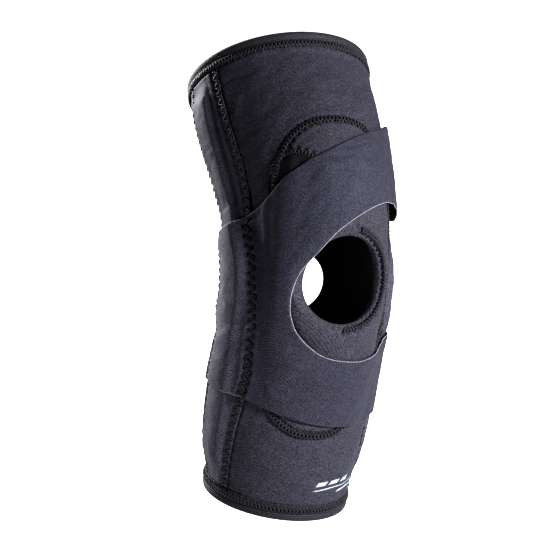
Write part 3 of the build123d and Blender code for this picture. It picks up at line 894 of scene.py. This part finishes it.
SLEEVE_LOOK = knit("sleeve_knit", (0.004, 0.004, 0.006), (0.080, 0.076, 0.106), 0.02)
COVER_LOOK = knit("cover_knit", (0.004, 0.004, 0.006), (0.084, 0.079, 0.107), 0.02, rib=220.0)
STRAP_LOOK = knit("strap_loop", (0.004, 0.004, 0.006), (0.070, 0.068, 0.102), 0.03, speckle=1500.0)
POCKET_LOOK = knit("pocket_knit", (0.006, 0.006, 0.009), (0.112, 0.110, 0.146), 0.03, speckle=1500.0)
# near-black: painted shade, for the shadow inside the pad pocket's mouth
MOUTH_SHADE_LOOK = knit("mouth_painted_shade", (0.006, 0.006, 0.008), (0.018, 0.018, 0.024), 0.0)
PALE_EDGE_LOOK = knit("cut_edge_foam", (0.16, 0.16, 0.18), (0.4, 0.4, 0.44), 0.0)
TAPE_LOOK = edge_tape("edge_tape", (0.012, 0.012, 0.015), (0.045, 0.044, 0.055))
THREAD_LOOK = sewing_thread("thread_dark", (0.034, 0.033, 0.044))
HOOK_LOOK = knit("hook_tape", (0.01, 0.01, 0.01), (0.04, 0.04, 0.045), 0.0, speckle=900.0)
PRINT_LOOK = knit("print_pale", (0.3, 0.33, 0.37), (0.42, 0.46, 0.5), 0.0, relief=0.1)
ARM_LOOK = metal("arm_aluminium", (0.7, 0.71, 0.73), 0.35)
PLATE_LOOK = metal("plate_steel", (0.55, 0.55, 0.57), 0.3)


# Pieces -------------------------------------------------------------------------------------------
def flat(height):
    """A layer of the same height everywhere."""
    return lambda s, around: np.full(np.shape(s), float(height))


def pocket_line(side, row):
    """Places along one row of stitches of a hinge pocket."""
    s = np.linspace(POCKET_END, LEG_LENGTH - POCKET_END, 120)
    return np.stack([s, pocket_place(s, pocket_row(row, s), side)], -1)


OVAL_HEM = 2.6  # from the oval's edge to its stitches
HOLE_HEM = (2.9, 3.1)  # and from the kneecap opening's, along the leg and in degrees
RING_SEAM = (0.03, 0.5)  # the part of the kneecap opening's outline that has stitches
MOUTH_SEAM = ((222, -50), (229, -46.5), (233, -38), (230, -29), (223, -21))
MOUTH_TOP = ((221, -49), (227, -45), (230.5, -38), (228, -30), (222, -23))
MOUTH_BOTTOM = ((204, -60), (207, -53), (212, -44), (217, -34), (219, -27))
CUFF_SEAMS = (("shin_cuff", 8.2), ("thigh_cuff", LEG_LENGTH - 9.4))


def make_seams():
    """Every row of stitches, by its name."""
    centre, turn, half_s, half_turn = OVAL
    hemmed = (centre, turn, half_s - OVAL_HEM, half_turn - OVAL_HEM)
    oval = outline_point(np.linspace(0, 1, 40, endpoint=False), hemmed, OVAL_SQUARENESS)
    rows = {"oval": Seam(np.stack(oval, -1), flat(1.6), width=5.0, pitch=5.8, closed=True)}
    centre, turn, half_s, half_turn = HOLE
    hemmed = (centre, turn, half_s + HOLE_HEM[0], half_turn + HOLE_HEM[1])
    ring = outline_point(np.linspace(*RING_SEAM, 30), hemmed)
    rows["ring"] = Seam(np.stack(ring, -1), cover_height, width=3.8, pitch=5.4)
    rows["mouth"] = Seam(MOUTH_SEAM, cover_height, width=4.5, pitch=5.4)
    for name, side, face in (("lateral", -1, outer_pocket_face), ("medial", 1, inner_pocket_face)):
        for edge, row, width, pitch in (("front", FRONT_ROW, 5.4, 7.0), ("back", BACK_ROW, 4.4, 5.6)):
            rows[f"{name}_{edge}"] = Seam(pocket_line(side, row), face, width, pitch, smooth=False)
    around = np.linspace(-180, 180, 121)
    for name, s in CUFF_SEAMS:
        line = np.stack([np.full_like(around, s), around], -1)
        rows[name] = Seam(line, flat(1.2), width=5.0, pitch=5.6, smooth=False)
    return rows


SEAMS = make_seams()


def even_columns(count):
    """Angles that are evenly spaced along the girth of the leg."""
    turn = np.linspace(-180, 180, 721)
    length = np.cumsum(mm_around(np.full_like(turn, MIDDLE), turn))
    return np.interp(np.linspace(length[0], length[-1], count + 1)[:-1], length, turn)


PUFF = puffed_padding()


def puff(s, around):
    """How far the padding swells out at each place."""
    return from_grid(PUFF, s, around)


def sleeve_height(s, around):
    """The sleeve's outer face: gently uneven, puffed between seams, and creased behind the knee."""
    uneven = 0.5 * ripple(s, around, 34, 3.1) + 0.18 * ripple(s, around, 9, 8.2)
    fold = bump_at(180, 60, np.abs(around)) * bump_at(MIDDLE, 75, s)
    uneven += 0.9 * fold * np.sin(s / 4.2 + ripple(s, around, 40, 5.0) * 2)
    return uneven + puff(s, around)


SLEEVE_SEAMS = (
    "oval", "lateral_front", "lateral_back", "medial_front", "medial_back", "shin_cuff", "thigh_cuff",
)
SLEEVE_CUTS = ((HOLE, 1.12), (BACK_HOLE, 1.03))  # the sleeve is cut this much wider than each opening


def sleeve():
    """The sleeve itself, with the kneecap opening and the opening behind the knee."""
    rows = np.arange(2.0, LEG_LENGTH - 1.9, 1.6)
    columns = even_columns(230)
    s, around = np.meshgrid(rows, columns, indexing="ij")
    uneven = sleeve_height(s, around)
    drop = sink(place(s, around, uneven), SLEEVE_SEAMS)
    outer = place(s, around, uneven - 0.6 * drop)
    inner = place(s, around, uneven * 0.5 - WALL)
    piece = sheet("sleeve", outer, inner, SLEEVE_LOOK, wrap=True)
    levels = [ellipse_level(s, around, hole) / share for hole, share in SLEEVE_CUTS]
    level = np.minimum.reduce(levels).reshape(-1)
    with editing(piece.data) as mesh:
        gone = [v for v in mesh.verts if level[v.index % len(level)] < 1]
        bmesh.ops.delete(mesh, geom=gone, context="VERTS")
    upper = ("thigh_front_panel", "thigh_back_panel", "knee_sleeve")
    bend_over_knee(piece, upper, ("shin_front_panel", "shin_back_panel"))


ROLL = 4.5  # radius of the cover's roll into the kneecap opening


def cover():
    """The oval panel over the pad, rolled over into the kneecap opening."""
    t = np.linspace(0, 1, 300, endpoint=False)
    hole_s, hole_turn = outline_point(t, HOLE)
    angle = np.arctan2((hole_turn - HOLE[1]) / HOLE[3], (hole_s - HOLE[0]) / HOLE[2])
    edge_s, edge_turn = outline_point(np.mod(angle / (2 * pi), 1), OVAL, OVAL_SQUARENESS)
    rings = 62
    share = np.concatenate([[0.04, 0.015, 0.0], np.linspace(0.0, 1, rings) ** 1.15])
    turned_in = (-WALL - 0.9, -WALL + 0.6, -1.0)  # heights of the first rings, inside the opening
    heights = np.concatenate([turned_in, np.full(rings, np.nan)])
    s = between(hole_s, edge_s, share[:, None])
    around = between(hole_turn, edge_turn, share[:, None])
    height = cover_height(s, around) + 0.25 * ripple(s, around, 16, 1.7) + puff(s, around)
    from_hole = (ellipse_level(s, around, HOLE) - 1) * HOLE_SIZE
    height = height * np.sqrt(np.clip(from_hole / ROLL, 0.0, 1))
    fixed = ~np.isnan(heights)
    height[fixed] = heights[fixed][:, None]
    height -= sink(place(s, around, height), ("oval", "ring", "mouth")) * ~fixed[:, None]
    outer = place(s, around, height)
    inner = place(s, around, np.where(fixed[:, None], height - 0.6, np.minimum(height - 1.0, 0.3)))
    piece = sheet("cover", outer, inner, COVER_LOOK, wrap=True)
    bend_over_knee(piece, ("buttress_cover", "buttress_pad", "kneecap_ring"))


def mouth():
    """A near-black sheet below the pad pocket's mouth: painted shade for the shadow inside the mouth."""
    top = smooth_curve(MOUTH_TOP, steps=12)
    bottom = smooth_curve(MOUTH_BOTTOM, steps=12)
    share = np.linspace(0, 1, 14)[:, None]
    s = between(top[:, 0], bottom[:, 0], share)
    around = between(top[:, 1], bottom[:, 1], share)
    height = cover_height(s, around) + puff(s, around) + 0.35
    outer = place(s, around, height)
    inner = place(s, around, height - 0.8)
    bend_over_knee(sheet("pad_pocket_mouth_shade", outer, inner, MOUTH_SHADE_LOOK))


def pocket(name, side):
    """One hinge pocket from cuff to cuff."""
    rows = np.arange(POCKET_END, LEG_LENGTH - POCKET_END + 0.1, 1.25)
    s, share = np.meshgrid(rows, np.linspace(0, 1, 40), indexing="ij")
    front = pocket_row(FRONT_ROW, s) + HEM
    back = pocket_row(BACK_ROW, s) - BACK_HEM
    ahead = between(back, front, share)
    around = pocket_place(s, ahead, side)
    height = pocket_height(s, around, side)
    height += 0.3 * ripple(s, around, 24, 4.4 + side) + np.maximum(puff(s, around), 0) * 0.6
    height = np.maximum(height, 0.9)
    drop = sink(place(s, around, height), (f"{name}_front", f"{name}_back"), POCKET_PULL)
    height = np.maximum(height - drop, 0.6)
    outer = place(s, around, height)
    inner = place(s, around, np.maximum(height - 1.2, 0.1))
    piece = sheet(f"{name}_pocket", outer, inner, POCKET_LOOK)
    upper = (f"{name}_pocket_thigh", f"{name}_pocket_cap")
    bend_over_knee(piece, upper, (f"{name}_pocket_shin",))


STRAP_CORNERS = (0, 9, 12, len(STRAP_OUTER_EDGE) - 1)  # where the outer edge turns sharply
STRAP_BACK_TURN = -106.5  # beyond this turn the strap's outer edge runs along the leg
CUT_EDGE_RADIUS = 0.4


def strap_outline():
    """Places along the strap's inner edge and as many along its outer edge."""
    outer_edge = []
    for start, end in zip(STRAP_CORNERS, STRAP_CORNERS[1:]):
        run = smooth_curve(STRAP_OUTER_EDGE[start:end + 1], steps=28)
        outer_edge.append(run if end == STRAP_CORNERS[-1] else run[:-1])
    return smooth_curve(STRAP_INNER_EDGE, steps=28), np.vstack(outer_edge)


def strap():
    """The strap as one C-shaped sheet, sewn over the outer pocket, with a pale cut edge."""
    inner_edge, outer_edge = strap_outline()
    share = np.linspace(0, 1, 62)[None, :]
    s = between(inner_edge[:, :1], outer_edge[:, :1], share)
    around = between(inner_edge[:, 1:], outer_edge[:, 1:], share)
    height = strap_height(s, around)
    height += 0.22 * ripple(s, around, 22, 6.6)
    height += np.maximum(puff(s, around), 0) * (1 - step(68, 86, around))
    height = height - sink(place(s, around, height), ("lateral_front", "lateral_back"), POCKET_PULL)
    edge = np.minimum(share, 1 - share) * 70
    rounded = 0.45 * (1 - step(0, 1.6, edge)) + 0 * s
    outer = place(s, around, height - rounded)
    inner = place(s, around, height - STRAP_THICK + rounded * 0.3)
    piece = sheet("strap", outer, inner, STRAP_LOOK)
    piece.data.materials.append(POCKET_LOOK)
    over_pocket = (ahead_of_pocket(s, around, -1) < pocket_row(FRONT_ROW, s)).reshape(-1)
    for face in piece.data.polygons:
        face.material_index = int(over_pocket[face.vertices[0] % len(over_pocket)])
    bend_over_knee(piece, ("strap_saddle", "strap_upper_leg"), ("strap_lower_leg",))
    crosses_pocket = over_pocket.reshape(s.shape)[:, -1] & (around[:, -1] > STRAP_BACK_TURN)
    pale_cut_edges(outer * 0.55 + inner * 0.45, np.flatnonzero(crosses_pocket))


def pale_cut_edges(rim, crossing):
    """The strap's foam core, seen along its inner edge and where its outer edge crosses the pocket."""
    breaks = np.flatnonzero(np.diff(crossing) > 1) + 1
    runs = [rim[:, 0]] + [rim[run, -1] for run in np.split(crossing, breaks)]
    edges = joined_piece("strap_cut_edge", [tube(run, CUT_EDGE_RADIUS) for run in runs], PALE_EDGE_LOOK)
    bend_over_knee(edges)


def cuff(part, rim, way):
    """Folded edge tape round the cuff of a part of the leg; way is 1 where the sleeve is above the rim."""
    profile = [(CUFF_BAND, 1.0), (CUFF_BAND - 1, 1.35), (6.4, 1.3), (5.6, 0.9), (4.8, 1.35), (2, 1.5)]
    profile += [(0.4, 0.9), (0, -0.6), (0, -WALL + 0.6), (0.4, -WALL - 0.9), (2, -WALL - 1.3)]
    profile += [(CUFF_BAND, -WALL - 1.1), (CUFF_BAND, -WALL - 0.3), (3, -WALL - 0.2)]
    profile += [(2.2, -WALL), (2.2, 0), (3, 0.2), (CUFF_BAND, 0.3)]
    columns = even_columns(260)
    along = np.array([p[0] for p in profile])
    height = np.array([p[1] for p in profile])
    s = rim + way * along[:, None] + 0 * columns
    around = columns + 0 * s
    height = height[:, None] + 0 * s
    outside = np.arange(len(profile)) < 3
    drop = sink(place(s, around, height), (f"{part}_cuff",)) * outside[:, None]
    piece = band(f"{part}_cuff_tape", place(s, around, height - 0.5 * drop), TAPE_LOOK)
    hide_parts(f"{part}_cuff_binding")
    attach(piece, part)


def back_opening():
    """Bound edge of the opening behind the knee."""
    t = np.linspace(0, 1, 220, endpoint=False)
    centre, turn, half_s, half_turn = BACK_HOLE
    s, around = outline_point(t, BACK_HOLE)
    out_s, out_turn = outline_point(t, (centre, turn, half_s + BACK_TAPE, half_turn + BACK_TAPE))
    profile = (  # (share of the tape's width, height)
        (1.0, -0.1), (0.9, 0.9), (0.4, 1.2), (0.0, 0.6), (-0.12, -WALL / 2),
        (0.0, -WALL - 0.6), (0.4, -WALL - 1.2), (0.9, -WALL - 0.9), (1.0, -WALL + 0.1), (0.6, -WALL / 2),
    )
    rings = []
    for share, height in profile:
        rings.append(place(between(s, out_s, share), between(around, out_turn, share), height))
    piece = band("back_opening_tape", np.array(rings), TAPE_LOOK)
    bend_over_knee(piece, ("back_opening_binding",))


def stitches():
    """All the sewing thread."""
    for name in ("oval", "ring", "mouth"):
        bend_over_knee(stitch_piece(f"{name}_stitching", (name,)))
    for name in ("lateral", "medial"):
        rows = (f"{name}_front", f"{name}_back")
        piece = stitch_piece(f"{name}_pocket_stitching", rows, lift=POCKET_THREAD_ARCH, crossed=False)
        bend_over_knee(piece)
    for part in ("shin", "thigh"):
        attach(stitch_piece(f"{part}_cuff_stitching", (f"{part}_cuff",)), part)


TAB_LENGTH = 41.0
TAB_TURN = 90.0  # where the strap ends and its loose ends begin
TAB_ROUND = 0.22  # the share of a loose end's length that its rounded tip takes
TAB_SINK = 0.55  # a loose end's tip lies lower than its fold by this share


def tab(name, fold_s, tip_s):
    """One loose strap end, lying lower towards its tip, with a hook patch underneath."""
    u, v = np.meshgrid(np.linspace(0, 1, 34), np.linspace(0, 1, 40), indexing="ij")
    tip = np.clip((u - (1 - TAB_ROUND)) / TAB_ROUND, 0, 1)
    rounded = np.sqrt(np.clip(1 - tip**2, 0.0, 1)) * 0.5 + 0.5
    bottom = between(fold_s[0], tip_s[0], u)
    top = between(fold_s[1], tip_s[1], u)
    s = between(bottom, top, 0.5 + (v - 0.5) * rounded)
    start = strap_height(s, np.full_like(s, TAB_TURN))
    around = TAB_TURN + u * TAB_LENGTH / mm_around(s, 118.0)
    height = start * (1 - step(0, 1, u) * TAB_SINK)
    outer = place(s, around, height)
    inner = place(s, around, height - STRAP_THICK)
    piece = sheet(f"strap_{name}_end", outer, inner, STRAP_LOOK)
    middle = sum(fold_s) / 2
    fold, beyond = place(middle, (TAB_TURN, TAB_TURN + 8), 0) * MM
    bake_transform(piece)
    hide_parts(f"strap_{name}_tab")
    inside = (slice(14, 30), slice(6, 34))
    under = height[inside] - STRAP_THICK
    hook_outer = place(s[inside], around[inside], under + 0.05)
    hook_inner = place(s[inside], around[inside], under - 0.9)
    hooks = sheet(f"{name}_hooks", hook_outer, hook_inner, HOOK_LOOK)
    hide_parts(f"{name}_hook_patch")
    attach(hooks, f"{name}_tab")


def printed_marks():
    """Plain printed bars on the front of the shin."""
    parts = []
    for low, high, start, end in PRINTED_BARS:
        around, t = np.meshgrid(np.linspace(start, end, 24), np.linspace(0, 1, 3), indexing="ij")
        s = between(low, high, t) + around * PRINT_SLOPE
        around = around + t * PRINT_SLANT
        face = sleeve_height(s, around)
        top = place(s, around, face + PRINT_THICK)
        bottom = place(s, around, face - PRINT_THICK)
        faces = grid_faces(*s.shape) + grid_faces(*s.shape, start=s.size, flip=True)
        parts.append((np.vstack([top.reshape(-1, 3), bottom.reshape(-1, 3)]), faces))
    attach(joined_piece("printed_bars", parts, PRINT_LOOK), "shin")


def hardware():
    """Materials for the hinge parts that keep their CAD shape."""
    for name, node in frame["nodes"].items():
        if node.hide_render:
            continue
        look = ARM_LOOK
        if name.endswith(("plate", "rivets", "pins")):
            look = PLATE_LOOK
        if name.endswith("washers"):
            look = PRINT_LOOK
        node.data.materials.clear()
        node.data.materials.append(look)


sleeve()
cover()
mouth()
pocket("lateral", -1)
pocket("medial", 1)
strap()
cuff("shin", 0, 1)
cuff("thigh", LEG_LENGTH, -1)
back_opening()
stitches()
tab("upper", (214, 282), (240, 276))
tab("lower", (70, 132), (62, 98))
printed_marks()
hardware()


# Studio -------------------------------------------------------------------------------------------
FLOOR_HALF = 6.0
FLOOR_GLOW = 0.75
WORLD_LIGHT = 0.015
LIGHTS = (  # name, degrees round from the front, height and distance in metres, watts, width in metres
    ("key", 25, 0.9, 1.4, 44.0, 0.4),
    ("edge", -162, 0.3, 1.4, 36.0, 0.3),
)
CAMERA_AZIMUTH = radians(-27)
CAMERA_ELEVATION = radians(16)
CAMERA_ROLL = radians(9.8)
CAMERA_DISTANCE = 1.575
CAMERA_LENS = 2113.0 / 560.0  # focal length as a share of the picture's width
CAMERA_TARGET = (0, 0.030, 0.1583)
CAMERA_SHIFT = -0.0093  # of the camera and its target, to the picture's right
SENSOR_WIDTH = 36.0


def floor():
    """A pale floor that the camera sees glowing, so it stays plain and even."""
    mesh = bpy.data.meshes.new("floor")
    corners = [(-1, -1), (1, -1), (1, 1), (-1, 1)]
    mesh.from_pydata([(x * FLOOR_HALF, y * FLOOR_HALF, 0) for x, y in corners], [], [(0, 1, 2, 3)])
    look = Look("floor_paper", 0.9)
    look.colour(look.ramp(look.noise(3.0), (0.86, 0.86, 0.86), (0.9, 0.9, 0.9)))
    seen = look.node("ShaderNodeLightPath").outputs["Is Camera Ray"]
    look.shader.inputs["Emission Color"].default_value = (1, 1, 1, 1)
    glow = look.node("ShaderNodeMath", operation="MULTIPLY")
    look.link(seen, glow.inputs[0])
    glow.inputs[1].default_value = FLOOR_GLOW
    look.link(glow.outputs[0], look.shader.inputs["Emission Strength"])
    mesh.materials.append(look.material)
    add_object("floor", mesh)


def surroundings():
    """White where the camera sees it, and otherwise only a faint light from all round."""
    world = bpy.data.worlds.new("studio")
    world.use_nodes = True
    nodes, links = world.node_tree.nodes, world.node_tree.links
    background = nodes["Background"]
    background.inputs["Color"].default_value = (1, 1, 1, 1)
    directly_seen = nodes.new("ShaderNodeLightPath").outputs["Is Camera Ray"]
    strength = nodes.new("ShaderNodeMath")
    strength.operation = "MAXIMUM"
    strength.inputs[1].default_value = WORLD_LIGHT
    links.new(directly_seen, strength.inputs[0])
    links.new(strength.outputs[0], background.inputs["Strength"])
    bpy.context.scene.world = world
    bpy.context.scene.view_settings.view_transform = "Standard"
    bpy.context.scene.view_settings.look = "Very High Contrast"


def lights():
    """Soft square lights, aimed at the knee."""
    target = Vector(KNEE * MM)
    for name, turn, height, far, power, width in LIGHTS:
        data = bpy.data.lights.new(name, "AREA")
        data.energy = power
        data.size = width
        light = add_object(name, data)
        away = Vector((sin(radians(turn)), -cos(radians(turn)), 0)) * far
        light.location = target + away + Vector((0, 0, height))
        light.rotation_euler = (target - light.location).to_track_quat("-Z", "Y").to_euler()


def camera():
    """Looks from the front outer side, a little above, and slightly rolled."""
    level = cos(CAMERA_ELEVATION)
    back = np.array(
        [sin(CAMERA_AZIMUTH) * level, -cos(CAMERA_AZIMUTH) * level, sin(CAMERA_ELEVATION)]
    )
    right = np.cross([0, 0, 1], back)
    right /= np.linalg.norm(right)
    up = np.cross(back, right)
    rolled_right = right * cos(CAMERA_ROLL) + up * sin(CAMERA_ROLL)
    rolled_up = -right * sin(CAMERA_ROLL) + up * cos(CAMERA_ROLL)
    eye_place = rolled_right * CAMERA_SHIFT + np.array(CAMERA_TARGET) + back * CAMERA_DISTANCE
    data = bpy.data.cameras.new("camera")
    data.sensor_width = SENSOR_WIDTH
    data.lens = SENSOR_WIDTH * CAMERA_LENS
    eye = add_object("camera", data)
    columns = np.stack([rolled_right, rolled_up, back], 1)
    eye.matrix_world = Matrix.Translation(eye_place) @ Matrix(columns.tolist()).to_4x4()
    bpy.context.scene.camera = eye


floor()
surroundings()
lights()
camera()
